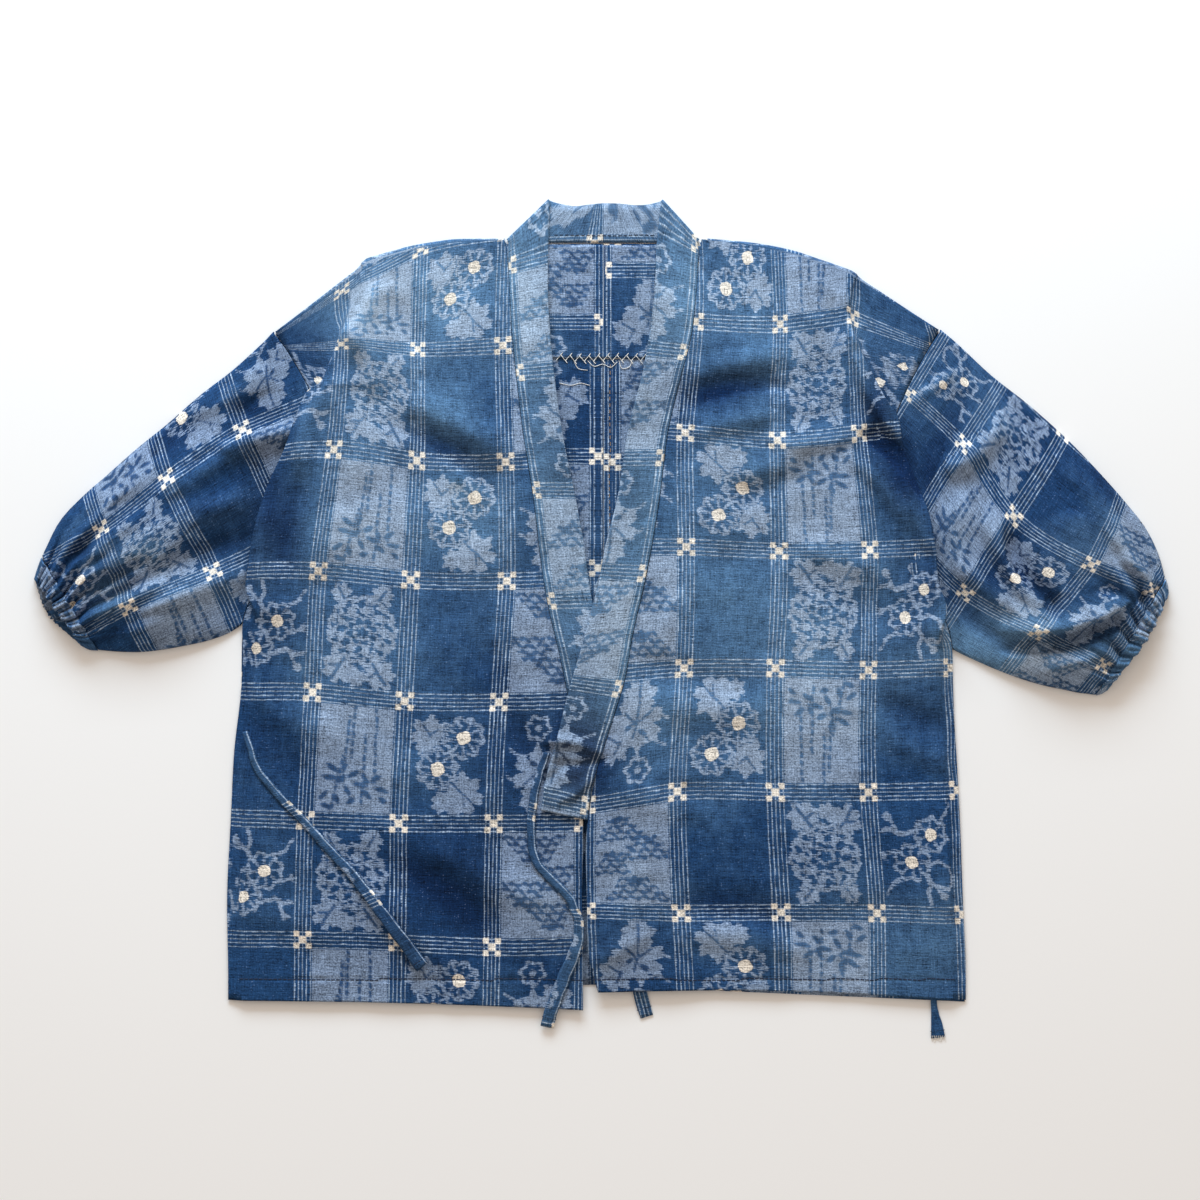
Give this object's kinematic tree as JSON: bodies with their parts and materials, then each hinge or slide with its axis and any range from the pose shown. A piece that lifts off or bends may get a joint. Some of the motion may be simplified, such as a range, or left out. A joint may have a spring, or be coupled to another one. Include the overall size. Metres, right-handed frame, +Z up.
{
  "type": "noragi jacket",
  "caption": "Short indigo kasuri work jacket with straight fronts, a long collar band, gathered cuffs and narrow cloth ties, laid out flat on its back",
  "frame": {"origin": "centre of the laid-out jacket's footprint, on the surface it lies on", "axes": "X towards the wearer's left, Y towards the collar, Z up from the surface the back lies on"},
  "size_m": [1.1357, 0.839, 0.0328],
  "materials": {
    "kasuri_cloth": "woven cotton, worn soft, matte",
    "faded_cloth": "the same cotton, faded and rubbed",
    "lining_cloth": "thin plain cotton, matte",
    "cuff_cloth": "gathered cotton, matte"
  },
  "bodies": {
    "root": {"body_right": "kasuri_cloth", "body_left": "kasuri_cloth", "sleeve_right": "kasuri_cloth", "sleeve_left": "kasuri_cloth", "cuff_right": "cuff_cloth", "cuff_left": "cuff_cloth", "collar": "faded_cloth", "yoke_lining": "lining_cloth", "tie_side_right": "faded_cloth", "tie_front_left": "faded_cloth", "tie_front_right": "cuff_cloth", "tie_side_left": "kasuri_cloth"}
  },
  "joints": []
}
